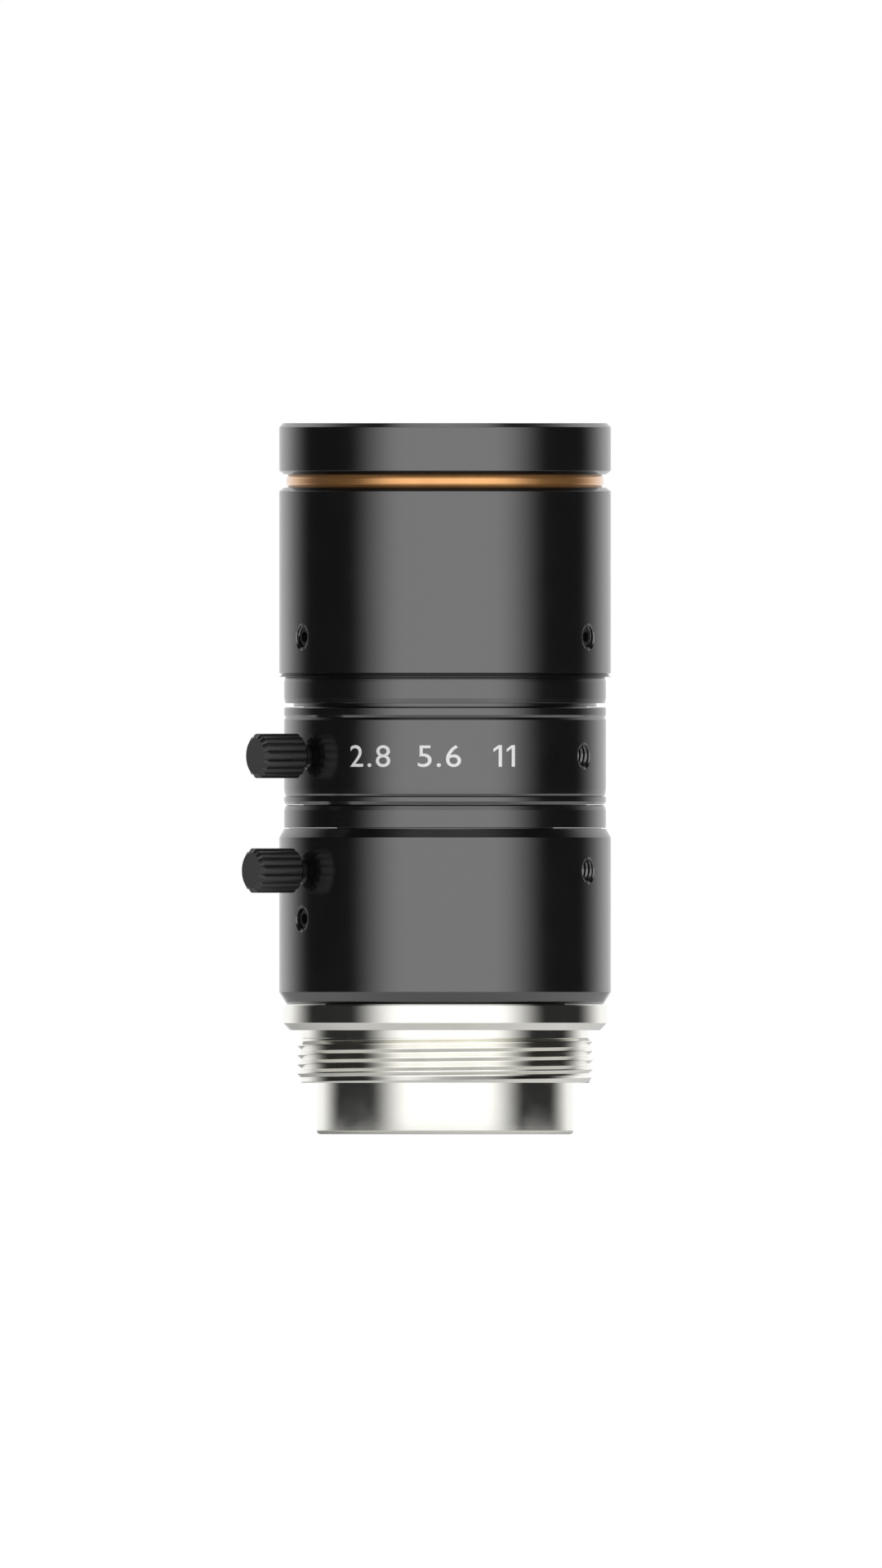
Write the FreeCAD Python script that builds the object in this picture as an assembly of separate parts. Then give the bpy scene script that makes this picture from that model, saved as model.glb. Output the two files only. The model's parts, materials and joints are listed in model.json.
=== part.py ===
import FreeCAD, Part
import math
import os

from FreeCAD import Vector

# C-mount lens for machine vision cameras, millimetres.
# Z is the optical axis and +Z points to the front. Z = 0 is the shoulder that seats on the camera.
# The model stands at infinity focus with the iris fully open.
# Azimuths are in degrees about Z from +X. The scale on the iris ring faces -Y.
# A focus ring with a cam groove moves the lens barrel along a guide, and an iris ring opens six blades.

# Fits, as gaps between two radii or two faces
run_gap = 0.04  # turning fit
slide_gap = 0.03  # sliding fit of the lens barrel in its guide
seat_gap = 0.02  # threaded, pressed or bonded seat
face_gap = 0.08  # end play between a ring and the faces beside it
slot_gap = 0.05  # between a pin and the side of its slot
line_gap = 0.35  # the dark lines above and below the iris ring
overcut = 1.0  # how far a cut runs past the wall that it opens

# C-mount adapter: rear snout, 1 inch thread, flange. The thread is what all other radii build on.
thread_radius = 12.7
thread_length = 4.5
thread_lead = 0.7
snout_step = 1.7  # from the thread's crest down to the snout
snout_length = 4.4
mount_wall = 0.72  # wall of the snout
shoulder_width = 1.23  # from the thread's crest out to the flange
flange_height = 2.14
flange_edge = 0.6

# Guide barrel, bonded in the adapter
guide_wall = 0.95
guide_depth = 3.5  # reach below the shoulder
guide_rim = 0.4  # how far its top stays below the focus ring's

# Focus ring
body_step = 0.29  # from the flange out to the body
focus_length = 15.05
focus_foot_height = 1.05
focus_foot_depth = 0.65
focus_top_height = 0.75
focus_top_depth = 0.42
focus_turn = 160.0
focus_travel = 4.0

# Cam follower and the groove that drives it
follower_radius = 1.0
follower_rise = 3.78  # above the focus ring's lower end, at infinity focus
follower_azimuth = 90.0
follower_root = 1.3  # depth of the follower's seat in the lens barrel
groove_depth = 1.0
groove_steps = 8

# Stop screw: holds the focus ring on the guide and ends its turn
stop_drop = 4.13  # below the locking thumbscrew
stop_dog_radius = 0.5
stop_dog_reach = 0.7
screw_recess = 0.3  # how far set screws lie below the surface

# Lens barrel
barrel_foot = 1.0  # height of its rear end above the shoulder
rear_wall = 2.46  # round the rear lens
rear_seat_rise = 6.5  # above the rear end
collar_step = 0.42  # from the body down to the collar
collar_length = 1.65
chamber_wall = 1.26  # round the iris

# Iris ring
iris_ring_length = 8.34
iris_ring_wall = 1.6
iris_turn = 48.0

# Front barrel with its neck, accent ring, front ring
neck_length = 2.24
front_barrel_length = 16.25
accent_step = 0.62  # from the body down to the accent ring
accent_length = 1.13
front_ring_length = 4.4
front_edge = 0.35
front_wall = 1.72  # round the M25.5 x 0.5 filter thread
filter_depth = 2.9
lens_cover = 0.96  # how far the front ring reaches over the front lens

# Locking thumbscrews, M2, and the tapped holes for them and for a second pair on the right
screw_radius = 1.0
screw_sides = 12  # flat sides that stand for a fine M2 thread
left_azimuth = -150.0
right_azimuth = -30.0
rear_azimuth = 90.0
focus_lock_drop = 3.58  # below the focus ring's top
lock_head_radius = 1.95
lock_head_length = 4.3
lock_head_gap = 0.72
lock_flutes = 14
flute_depth = 0.22
lock_tip_radius = 0.85
lock_tip_length = 0.5

# Iris diaphragm
blade_count = 6
blade_thickness = 0.1
blade_pitch = 0.15  # from one blade's level to the next
blade_inset = 2.15  # from the iris chamber's wall to a blade's back
blade_width = 3.0
blade_angle = 90.0
stop_lip = 0.15  # how far the full opening's edge reaches past the open blades
blade_inner_steps = 6
blade_back_steps = 5
blade_rim = 0.2  # sheet left round a pin
ear_wrap = 90.0  # how far the edge wraps round the pivot
toe_wrap = 140.0  # and round the cam pin
blade_turn = 24.0  # turn that closes the iris
pivot_inset = 1.25  # from the iris chamber's wall to the pivots
cam_arm = 1.6  # from a blade's pivot to its cam pin
iris_pin_radius = 0.25
iris_pin_sides = 8
pivot_depth = 0.6
cam_ring_width = 2.96
cam_ring_length = 1.2
cam_slot_steps = 6
drive_pin_radius = 0.5
drive_pin_bite = 1.0  # how far the drive pin reaches into the cam ring
drive_pin_cover = 0.5  # iris ring wall left outside it

# Lens elements: the front one and a cemented rear group
front_lens_edge = 2.4
front_lens_curve = 60.0
rear_lens_edge = 3.4
rear_lens_curve = 30.0

# Radii that follow, from the thread outwards and inwards
flange_radius = thread_radius + shoulder_width
body_radius = flange_radius + body_step
collar_radius = body_radius - collar_step
accent_radius = body_radius - accent_step
filter_radius = body_radius - front_wall
iris_bore_radius = collar_radius - iris_ring_wall
barrel_radius = iris_bore_radius - run_gap
front_bore_radius = barrel_radius + seat_gap
front_opening_radius = barrel_radius - lens_cover
iris_chamber_radius = barrel_radius - chamber_wall
cam_ring_radius = iris_chamber_radius - run_gap
cam_ring_inner_radius = cam_ring_radius - cam_ring_width
pivot_circle = iris_chamber_radius - pivot_inset
blade_outer_radius = iris_chamber_radius - blade_inset
blade_inner_radius = blade_outer_radius - blade_width
stop_radius = blade_inner_radius - stop_lip
snout_radius = thread_radius - snout_step
mount_bore_radius = snout_radius - mount_wall
guide_outer_radius = mount_bore_radius - seat_gap
guide_inner_radius = guide_outer_radius - guide_wall
focus_bore_radius = guide_outer_radius + run_gap
tube_radius = guide_inner_radius - slide_gap
rear_bore_radius = tube_radius - rear_wall
rear_lens_radius = rear_bore_radius - seat_gap
hole_radius = screw_radius + run_gap

# Heights that follow: mount and focus ring
thread_bottom = -thread_length
snout_bottom = thread_bottom - snout_length
focus_bottom = flange_height + face_gap
focus_top = focus_bottom + focus_length
guide_top = focus_top - guide_rim
follower_height = focus_bottom + follower_rise
focus_lock_height = focus_top - focus_lock_drop
stop_height = focus_lock_height - stop_drop

# Heights that follow: lens barrel and the rings on it
collar_bottom = focus_top + face_gap
collar_top = collar_bottom + collar_length
rear_seat_height = barrel_foot + rear_seat_rise
iris_ring_bottom = collar_top + line_gap
iris_ring_top = iris_ring_bottom + iris_ring_length
iris_lock_height = iris_ring_bottom + iris_ring_length / 2
neck_bottom = iris_ring_top + line_gap
neck_top = neck_bottom + neck_length
front_barrel_top = neck_top + front_barrel_length
accent_top = front_barrel_top + accent_length
front_top = accent_top + front_ring_length

# Heights that follow: iris, from the drive pin downwards
cam_ring_bottom = iris_lock_height - cam_ring_length / 2
cam_ring_top = cam_ring_bottom + cam_ring_length
blade_floor = cam_ring_bottom - slot_gap - blade_count * blade_pitch
iris_seat_height = blade_floor - slot_gap


def polar(radius, azimuth, height=0.0):
    angle = math.radians(azimuth)
    return Vector(radius * math.cos(angle), radius * math.sin(angle), height)


def turned(profile, sweep=360.0):
    """Revolves a closed outline of (radius, height) points about Z."""
    points = [Vector(r, 0, z) for r, z in profile]
    face = Part.Face(Part.makePolygon(points + points[:1]))
    return face.revolve(Vector(0, 0, 0), Vector(0, 0, 1), sweep)


def ring(inner, outer, bottom, top):
    return turned([(inner, bottom), (outer, bottom), (outer, top), (inner, top)])


def arc_slot(inner, outer, height, width, start, end):
    """A slot round Z, through the wall between two radii."""
    low = height - width / 2
    high = height + width / 2
    outline = [(inner, low), (outer, low), (outer, high), (inner, high)]
    slot = turned(outline, end - start)
    slot.rotate(Vector(0, 0, 0), Vector(0, 0, 1), start)
    return slot


def prism(radius, sides, bottom, top, centre=Vector(0, 0, 0)):
    """An upright bar with flat sides. Its corners lie on the given radius."""
    step = 2 * math.pi / sides
    corners = [
        centre + Vector(radius * math.cos(i * step), radius * math.sin(i * step), bottom)
        for i in range(sides)
    ]
    face = Part.Face(Part.makePolygon(corners + corners[:1]))
    return face.extrude(Vector(0, 0, top - bottom))


def radial(shape, azimuth, height):
    """Lays a shape made along Z onto a spoke: its Z becomes the distance from the axis."""
    shape.rotate(Vector(0, 0, 0), Vector(0, 1, 0), 90)
    shape.rotate(Vector(0, 0, 0), Vector(0, 0, 1), azimuth)
    shape.translate(Vector(0, 0, height))
    return shape


def spoke_bar(radius, inner, outer, azimuth, height):
    """A bar with the flat sides of a small screw, along a spoke."""
    return radial(prism(radius, screw_sides, inner, outer), azimuth, height)


def tapped_hole(azimuth, height, inner, outer):
    # the flat sides clear the screw's corners
    corner = hole_radius / math.cos(math.pi / screw_sides)
    return spoke_bar(corner, inner, outer, azimuth, height)


def c_mount():
    profile = [
        (mount_bore_radius, snout_bottom),
        (snout_radius, snout_bottom),
        (snout_radius, thread_bottom),
        (thread_radius - thread_lead, thread_bottom),
        (thread_radius, thread_bottom + thread_lead),
        (thread_radius, 0),
        (flange_radius - flange_edge, 0),
        (flange_radius, flange_edge),
        (flange_radius, flange_height),
        (mount_bore_radius, flange_height),
    ]
    return turned(profile)


def guide_barrel():
    body = ring(guide_inner_radius, guide_outer_radius, -guide_depth, guide_top)
    inner = guide_inner_radius - overcut
    outer = guide_outer_radius + overcut
    width = 2 * (follower_radius + slot_gap)
    low = follower_height - width / 2
    key_slot = Part.makeBox(outer - inner, width, focus_travel + width)
    key_slot.translate(Vector(inner, -width / 2, low))
    key_slot.rotate(Vector(0, 0, 0), Vector(0, 0, 1), follower_azimuth)
    play = math.degrees((stop_dog_radius + slot_gap) / guide_outer_radius)
    stop_slot = arc_slot(
        inner,
        outer,
        stop_height,
        2 * (stop_dog_radius + slot_gap),
        left_azimuth - play,
        left_azimuth + focus_turn + play,
    )
    return body.cut(key_slot).cut(stop_slot)


def cam_groove():
    """The helical groove in the focus ring's bore. It rises as the follower leaves its rest place."""
    middle = focus_bore_radius + groove_depth / 2
    slope = math.atan(focus_travel / (math.radians(focus_turn) * middle))
    half = (follower_radius + slot_gap) / math.cos(slope)
    play = math.degrees(half / middle)
    inner = focus_bore_radius - groove_depth / 2
    sweep = focus_turn + 2 * play
    # corners stand out a little, so that the flats between them keep the full depth
    outer = (focus_bore_radius + groove_depth) / math.cos(math.radians(sweep / groove_steps / 2))
    sections = []
    for i in range(groove_steps + 1):
        turn = -play + sweep * i / groove_steps
        azimuth = follower_azimuth - turn
        height = follower_height + focus_travel * turn / focus_turn
        corners = [
            polar(inner, azimuth, height - half),
            polar(outer, azimuth, height - half),
            polar(outer, azimuth, height + half),
            polar(inner, azimuth, height + half),
        ]
        sections.append(Part.makePolygon(corners + corners[:1]))
    return Part.makeLoft(sections, True, True)


def focus_ring():
    foot = body_radius - focus_foot_depth
    profile = [
        (focus_bore_radius, focus_bottom),
        (foot, focus_bottom),
        (body_radius, focus_bottom + focus_foot_height),
        (body_radius, focus_top - focus_top_height),
        (body_radius - focus_top_depth, focus_top),
        (focus_bore_radius, focus_top),
    ]
    body = turned(profile)
    inner = focus_bore_radius - overcut
    outer = body_radius + overcut
    for azimuth in (left_azimuth, right_azimuth):
        body = body.cut(tapped_hole(azimuth, focus_lock_height, inner, outer))
    body = body.cut(tapped_hole(left_azimuth, stop_height, inner, outer))
    return body.cut(cam_groove())


def focus_stop_screw():
    dog_end = guide_outer_radius - stop_dog_reach
    screw_end = focus_bore_radius + run_gap
    head_end = body_radius - screw_recess
    dog = spoke_bar(stop_dog_radius, dog_end, screw_end, left_azimuth, stop_height)
    shank = spoke_bar(screw_radius, screw_end, head_end, left_azimuth, stop_height)
    return shank.fuse(dog)


def cam_follower():
    inner = tube_radius - follower_root
    outer = focus_bore_radius + groove_depth - slot_gap
    pin = Part.makeCylinder(follower_radius, outer - inner, Vector(0, 0, inner))
    return radial(pin, follower_azimuth, follower_height)


def blade_azimuths():
    """One pivot for each blade. They are turned so that the drive pin meets a web between two slots."""
    web = 360 / blade_count
    start = rear_azimuth + cam_pin_azimuth_lag() - (web - iris_turn) / 2
    return [start + web * i for i in range(blade_count)]


def cam_pin_place():
    """Where a blade's cam pin is when the iris is open, with the blade's pivot on +X."""
    tilt = math.radians(blade_turn / 2)
    return Vector(pivot_circle - cam_arm * math.sin(tilt), -cam_arm * math.cos(tilt), 0)


def cam_pin_azimuth_lag():
    place = cam_pin_place()
    return math.degrees(math.atan2(-place.y, place.x))


def drive_slot():
    play = math.degrees((drive_pin_radius + slot_gap) / iris_chamber_radius)
    return arc_slot(
        iris_chamber_radius - overcut,
        barrel_radius + overcut,
        iris_lock_height,
        2 * (drive_pin_radius + slot_gap),
        rear_azimuth - play,
        rear_azimuth + iris_turn + play,
    )


def lens_barrel():
    profile = [
        (rear_bore_radius, barrel_foot),
        (tube_radius, barrel_foot),
        (tube_radius, collar_bottom),
        (collar_radius, collar_bottom),
        (collar_radius, collar_top),
        (barrel_radius, collar_top),
        (barrel_radius, barrel_top()),
        (iris_chamber_radius, barrel_top()),
        (iris_chamber_radius, iris_seat_height),
        (stop_radius, iris_seat_height),
        (stop_radius, rear_seat_height),
        (rear_bore_radius, rear_seat_height),
    ]
    body = turned(profile)
    body = body.cut(drive_slot())
    seat_radius = follower_radius + seat_gap
    seat_floor = tube_radius - follower_root - seat_gap
    seat = Part.makeCylinder(seat_radius, tube_radius + overcut - seat_floor, Vector(0, 0, seat_floor))
    body = body.cut(radial(seat, follower_azimuth, follower_height))
    hole = (iris_pin_radius + slot_gap) / math.cos(math.pi / iris_pin_sides)
    for azimuth in blade_azimuths():
        centre = polar(pivot_circle, azimuth)
        floor = iris_seat_height - pivot_depth - slot_gap
        body = body.cut(prism(hole, iris_pin_sides, floor, iris_seat_height + overcut, centre))
    return body


def iris_ring():
    body = ring(iris_bore_radius, collar_radius, iris_ring_bottom, iris_ring_top)
    inner = iris_bore_radius - overcut
    outer = collar_radius + overcut
    for azimuth in (left_azimuth, right_azimuth):
        body = body.cut(tapped_hole(azimuth, iris_lock_height, inner, outer))
    pin_hole = (drive_pin_radius + seat_gap) / math.cos(math.pi / screw_sides)
    hole_end = collar_radius - drive_pin_cover + seat_gap
    return body.cut(spoke_bar(pin_hole, inner, hole_end, rear_azimuth, iris_lock_height))


def iris_drive_pin():
    inner = cam_ring_radius - drive_pin_bite
    outer = collar_radius - drive_pin_cover
    return spoke_bar(drive_pin_radius, inner, outer, rear_azimuth, iris_lock_height)


def arc_points(radius, start, end, steps):
    return [polar(radius, start + (end - start) * i / steps) for i in range(steps + 1)]


def cam_slot_outline():
    """Corners of the slot for the first blade, with its pivot on +X.

    As the ring turns, the pin swings about the blade's pivot, and the slot is its path seen from the ring.
    """
    half = iris_pin_radius + slot_gap
    play = math.degrees(half / pivot_circle)
    pivot = Vector(pivot_circle, 0, 0)
    arm = cam_pin_place() - pivot
    path = []
    for i in range(cam_slot_steps + 1):
        turn = -play + (iris_turn + 2 * play) * i / cam_slot_steps
        swing = FreeCAD.Rotation(Vector(0, 0, 1), turn * blade_turn / iris_turn)
        place = pivot + swing.multVec(arm)
        path.append(FreeCAD.Rotation(Vector(0, 0, 1), -turn).multVec(place))
    left, right = [], []
    for i, point in enumerate(path):
        before = path[max(i - 1, 0)]
        after = path[min(i + 1, cam_slot_steps)]
        along = (after - before).normalize()
        side = Vector(-along.y, along.x, 0)
        left.append(point + side * half)
        right.append(point - side * half)
    return left + right[::-1]


def iris_cam_ring():
    body = ring(cam_ring_inner_radius, cam_ring_radius, cam_ring_bottom, cam_ring_top)
    low = cam_ring_bottom - overcut
    cut_height = cam_ring_length + 2 * overcut
    corners = cam_slot_outline()
    slot = Part.Face(Part.makePolygon(corners + corners[:1])).extrude(Vector(0, 0, cut_height))
    slot.translate(Vector(0, 0, low))
    for azimuth in blade_azimuths():
        cutter = slot.copy()
        cutter.rotate(Vector(0, 0, 0), Vector(0, 0, 1), azimuth)
        body = body.cut(cutter)
    width = 2 * (drive_pin_radius + seat_gap)
    inner = cam_ring_radius - drive_pin_bite - seat_gap
    notch = Part.makeBox(cam_ring_radius + overcut - inner, width, cut_height)
    notch.translate(Vector(inner, -width / 2, low))
    notch.rotate(Vector(0, 0, 0), Vector(0, 0, 1), rear_azimuth)
    return body.cut(notch)


def arc_about(centre, radius, start, end):
    """Start, middle and end of an arc round a centre."""
    return [centre + polar(radius, turn) for turn in (start, (start + end) / 2, end)]


def blade_plate():
    """A crescent that clears the full opening, with an ear that is round about the pivot and the cam pin."""
    pivot = Vector(pivot_circle, 0, 0)
    pad = iris_pin_radius + blade_rim
    back_start = 2 * math.degrees(pad / blade_outer_radius)
    edge = arc_points(blade_inner_radius, 0, blade_angle, blade_inner_steps)
    back = arc_points(blade_outer_radius, blade_angle, back_start, blade_back_steps)
    outward = -blade_turn / 2  # square to the line from the pivot to the cam pin
    pivot_end = arc_about(pivot, pad, outward + ear_wrap, outward)
    cam_end = arc_about(cam_pin_place(), pad, outward, outward - toe_wrap)
    sides = Part.makePolygon(cam_end[-1:] + edge + back + pivot_end[:1]).Edges
    sides.append(Part.Arc(*pivot_end).toShape())
    sides.append(Part.makeLine(pivot_end[-1], cam_end[0]))
    sides.append(Part.Arc(*cam_end).toShape())
    return Part.Face(Part.Wire(sides)).extrude(Vector(0, 0, blade_thickness))


def iris_blade(number):
    """One blade on its own level. Its pivot pin reaches down and its cam pin up."""
    bottom = blade_floor + number * blade_pitch
    top = bottom + blade_thickness
    plate = blade_plate()
    plate.translate(Vector(0, 0, bottom))
    pivot_end = iris_seat_height - pivot_depth
    pivot_pin = prism(iris_pin_radius, iris_pin_sides, pivot_end, bottom, Vector(pivot_circle, 0, 0))
    cam_end = cam_ring_top - slot_gap
    cam_pin = prism(iris_pin_radius, iris_pin_sides, top, cam_end, cam_pin_place())
    blade = plate.fuse([pivot_pin, cam_pin])
    blade.rotate(Vector(0, 0, 0), Vector(0, 0, 1), blade_azimuths()[number])
    return blade


def front_barrel():
    profile = [
        (front_bore_radius, neck_bottom),
        (collar_radius, neck_bottom),
        (collar_radius, neck_top),
        (body_radius, neck_top),
        (body_radius, front_barrel_top),
        (front_bore_radius, front_barrel_top),
    ]
    return turned(profile)


def accent_ring():
    return ring(front_bore_radius, accent_radius, front_barrel_top, accent_top)


def front_ring():
    ledge = front_top - filter_depth
    profile = [
        (front_opening_radius, accent_top),
        (body_radius, accent_top),
        (body_radius, front_top - front_edge),
        (body_radius - front_edge, front_top),
        (filter_radius, front_top),
        (filter_radius, ledge),
        (front_opening_radius, ledge),
    ]
    return turned(profile)


def sag(radius, curve):
    """How far a ball's surface falls from its crown at a distance from the axis."""
    return curve - math.sqrt(curve ** 2 - radius ** 2)


def dome(radius, curve, rim_height, side):
    """A ball that bounds a lens face: side +1 bulges upwards from the rim, -1 downwards."""
    centre = Vector(0, 0, rim_height + side * (sag(radius, curve) - curve))
    # the ball's poles lie sideways, away from the lens
    return Part.makeSphere(curve, centre, Vector(1, 0, 0), -90, 90, 360)


def front_lens_rim():
    """Height of its edge. The front ring's opening presses on the curved face, further in."""
    fall = sag(barrel_radius, front_lens_curve) - sag(front_opening_radius, front_lens_curve)
    return accent_top - seat_gap - fall


def barrel_top():
    return front_lens_rim() - front_lens_edge


def front_lens():
    depth = front_lens_edge + sag(barrel_radius, front_lens_curve)
    blank = Part.makeCylinder(barrel_radius, depth, Vector(0, 0, barrel_top()))
    return blank.common(dome(barrel_radius, front_lens_curve, front_lens_rim(), 1))


def rear_lens():
    bottom = rear_seat_height - rear_lens_edge
    depth = rear_lens_edge + sag(rear_lens_radius, rear_lens_curve)
    blank = Part.makeCylinder(rear_lens_radius, depth, Vector(0, 0, rear_seat_height - depth))
    return blank.common(dome(rear_lens_radius, rear_lens_curve, bottom, -1))


def thumbscrew(surface_radius, tip_start, height):
    """Fluted head and threaded shank, turned in from the left. It pushes a soft tip."""
    shank_end = tip_start + lock_tip_length
    head_start = surface_radius + lock_head_gap
    shank = Part.makeCylinder(screw_radius, head_start - shank_end, Vector(0, 0, shank_end))
    corners = []
    for i in range(2 * lock_flutes):
        angle = math.pi * i / lock_flutes
        radius = lock_head_radius - flute_depth * (i % 2)
        corners.append(Vector(radius * math.cos(angle), radius * math.sin(angle), head_start))
    face = Part.Face(Part.makePolygon(corners + corners[:1]))
    head = face.extrude(Vector(0, 0, lock_head_length))
    return radial(head.fuse(shank), left_azimuth, height)


def lock_tip(tip_start, height):
    tip_end = tip_start + lock_tip_length
    return spoke_bar(lock_tip_radius, tip_start, tip_end, left_azimuth, height)


def sub_parts():
    focus_tip_start = guide_outer_radius + slot_gap
    iris_tip_start = barrel_radius + slot_gap
    parts = {
        "c_mount": c_mount(),
        "guide_barrel": guide_barrel(),
        "focus_ring": focus_ring(),
        "focus_stop_screw": focus_stop_screw(),
        "focus_thumbscrew": thumbscrew(body_radius, focus_tip_start, focus_lock_height),
        "focus_lock_tip": lock_tip(focus_tip_start, focus_lock_height),
        "lens_barrel": lens_barrel(),
        "cam_follower": cam_follower(),
        "iris_ring": iris_ring(),
        "iris_thumbscrew": thumbscrew(collar_radius, iris_tip_start, iris_lock_height),
        "iris_lock_tip": lock_tip(iris_tip_start, iris_lock_height),
        "iris_drive_pin": iris_drive_pin(),
        "iris_cam_ring": iris_cam_ring(),
        "front_barrel": front_barrel(),
        "accent_ring": accent_ring(),
        "front_ring": front_ring(),
        "front_lens": front_lens(),
        "rear_lens": rear_lens(),
    }
    for number in range(blade_count):
        parts[f"iris_blade_{number + 1}"] = iris_blade(number)
    return parts


os.makedirs("parts", exist_ok=True)
for name, shape in sub_parts().items():
    shape.exportStep(f"parts/{name}.step")
    print(name, round(shape.Volume, 3), shape.isValid())
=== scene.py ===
import bmesh
import bpy
import json
import math
from mathutils import Matrix, Vector


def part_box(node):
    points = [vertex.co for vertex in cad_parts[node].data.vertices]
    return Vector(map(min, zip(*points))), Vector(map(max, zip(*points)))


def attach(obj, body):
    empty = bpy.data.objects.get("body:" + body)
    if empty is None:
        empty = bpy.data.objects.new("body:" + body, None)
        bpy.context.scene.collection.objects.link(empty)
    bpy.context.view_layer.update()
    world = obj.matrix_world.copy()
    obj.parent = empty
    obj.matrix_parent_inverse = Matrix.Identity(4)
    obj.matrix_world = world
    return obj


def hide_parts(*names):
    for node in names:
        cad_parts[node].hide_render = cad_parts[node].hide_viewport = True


# The looks of a C-mount lens for machine vision. Sizes are in millimetres until a mesh is made.
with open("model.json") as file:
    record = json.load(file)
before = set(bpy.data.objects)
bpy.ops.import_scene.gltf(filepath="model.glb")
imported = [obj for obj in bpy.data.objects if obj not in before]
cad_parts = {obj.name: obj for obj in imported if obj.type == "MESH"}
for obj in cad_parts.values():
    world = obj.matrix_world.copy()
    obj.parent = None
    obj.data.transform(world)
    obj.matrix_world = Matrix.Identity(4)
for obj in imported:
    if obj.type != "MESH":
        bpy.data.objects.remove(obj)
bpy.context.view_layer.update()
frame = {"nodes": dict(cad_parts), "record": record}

MM = 0.001
TINY = 0.001  # less than any size of the part
TURN = 2 * math.pi
SEGMENTS = 256  # round the outer rings
HOLE_SEGMENTS = 48
FLUTE_SEGMENTS = 12
LEFT = math.radians(-150)  # where the locking thumbscrews stand
RIGHT = math.radians(-30)  # where the second pair of locking holes is
FRONT = math.radians(-90)  # where the scale faces


# What the frame says

def places(node):
    """The distance from the axis and the height of each point of a CAD node."""
    points = [v.co / MM for v in frame["nodes"][node].data.vertices]
    return [(math.hypot(p.x, p.y), p.z) for p in points]


def span(node):
    """Inner radius, outer radius, lowest and highest point of a CAD node."""
    radii, heights = zip(*places(node))
    return min(radii), max(radii), min(heights), max(heights)


def rim(node, end):
    """Inner and outer radius of a CAD node's end: the lower with min, the upper with max."""
    points = places(node)
    level = end(height for _, height in points)
    radii = [radius for radius, height in points if abs(height - level) < TINY]
    return min(radii), max(radii)


def widest(node):
    """The lowest and the highest point at which a CAD node has its outer radius."""
    points = places(node)
    outer = max(radius for radius, _ in points)
    heights = [height for radius, height in points if radius > outer - TINY]
    return min(heights), max(heights)


def middle_height(node):
    low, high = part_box(node)
    return (low.z + high.z) / 2 / MM


def mount_size(name):
    """Radius and length of a threaded mount."""
    mounts = frame["record"]["mounts"]
    dims = next(mount["dims"] for mount in mounts if mount["name"] == name)
    return dims["r_mm"], dims["length_mm"]


def body_of(node):
    groups = frame["record"]["behaviour"]["bodies"]
    return next(body for body, nodes in groups.items() if node in nodes)


def slot_of(node):
    rows = frame["record"]["subparts"]
    return next(row["material_slot"] for row in rows if row["node"] == node)


# Sizes that the frame doesn't give

EDGE = 0.08  # small break on every turned edge
CRISP = 0.04  # break on the edges beside a dark line
ARC_SHARE = 0.45  # the most that a break takes of the shorter side beside it
RUNNING_GAP = 0.05
SEAT_GAP = 0.02
LIP_HEIGHT = 0.065
LIP_WIDTH = 0.6

THREAD_FORM = ((0.0625, 0), (0.4375, 1), (0.5625, 1), (0.9375, 0))  # part of a pitch, height
THREAD_PITCH = 25.4 / 32
THREAD_DEPTH = 0.34
THREAD_LEAD = 0.7
THREAD_RUN_OUT = 0.25
THREAD_RELIEF = 0.7  # plain neck between the camera thread and the shoulder
RELIEF_DEPTH = 0.05
SNOUT_EDGE = 0.3
SNOUT_BORE_EDGE = 0.15
FLANGE_LIP_INSET = 0.9

FOCUS_LIP_INSET = 0.8
COLLAR_TOP = ((0, 0.44), (0.12, 0.08), (0.22, 0))  # depth, and height under its end
BLADE_PIN_DEPTH = 0.6
STOP_EDGE = (0.25, 0.2)  # width and depth
BAFFLE_PITCH = 0.6
BAFFLE_DEPTH = 0.25
BAFFLE_RISE = 0.24
BAFFLE_MARGIN = 1.0  # plain wall above and below the baffles

RING_FOOT = (0.16, 0.27)  # depth and height of a chamfer
RING_TOP = (0.08, 0.08)
UPPER_LINE = ((-1.08, 0), (-0.87, 0.12), (-0.66, 0))  # height above the iris ring's top, depth
LOWER_LINE = ((0.62, 0), (0.72, 0.15), (0.93, 0.06), (1.34, 0))  # height above its foot, depth

NECK_LIP_RADIUS = 13.0
NECK_FOOT = (0.1, 0.42)
NECK_RELIEF = ((0, 0.42), (0.07, 0.06), (0.12, 0))  # depth, and height under the neck's end
BARREL_LINE = ((0.02, 0), (0.2, 0.2), (0.38, 0))  # height above the wide part's foot, depth
BARREL_EDGE = (0.42, 0.32)  # beside the accent ring
ACCENT_BEVEL = (0.15, 0.36)
FILTER_PITCH = 0.5
FILTER_THREAD_DEPTH = 0.27
FILTER_LEAD = 0.3
FRONT_LENS_CURVE = 60.0
REAR_LENS_CURVE = 30.0
GLASS_EDGE = 0.2

SCREW_RADIUS = 1.0
SCREW_PITCH = 0.4
SCREW_THREAD_DEPTH = 0.2
SCREW_RECESS = 0.3
SET_SCREW_LENGTH = 1.3
SET_SCREW_RISE = 3.44  # above the neck
STOP_SCREW_LENGTH = 2.6
HEX_APOTHEM = 0.45
HEX_DEPTH = 0.8
HEX_POINT = 0.2
HOLE_THREAD_DEPTH = 0.12
HOLE_THREAD_END = 0.02  # plain wall between a hole's thread and its countersink
SINK_DEPTH = 0.15
CUT_MARGIN = 1.0  # how far a cutter reaches past the wall

HEAD_LENGTH = 4.3
HEAD_FLUTES = 14
HEAD_CHAMFER = 0.4
HEAD_SHOULDER = (0.02, 0.28)  # where the chamfer meets the flutes: depth, and distance from the end
FLUTE_DEPTH = 0.22
FLUTE_SHAPE = 0.6  # below 1 the ridges are broad and the grooves narrow
SHANK_REACH = 2.4

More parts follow.
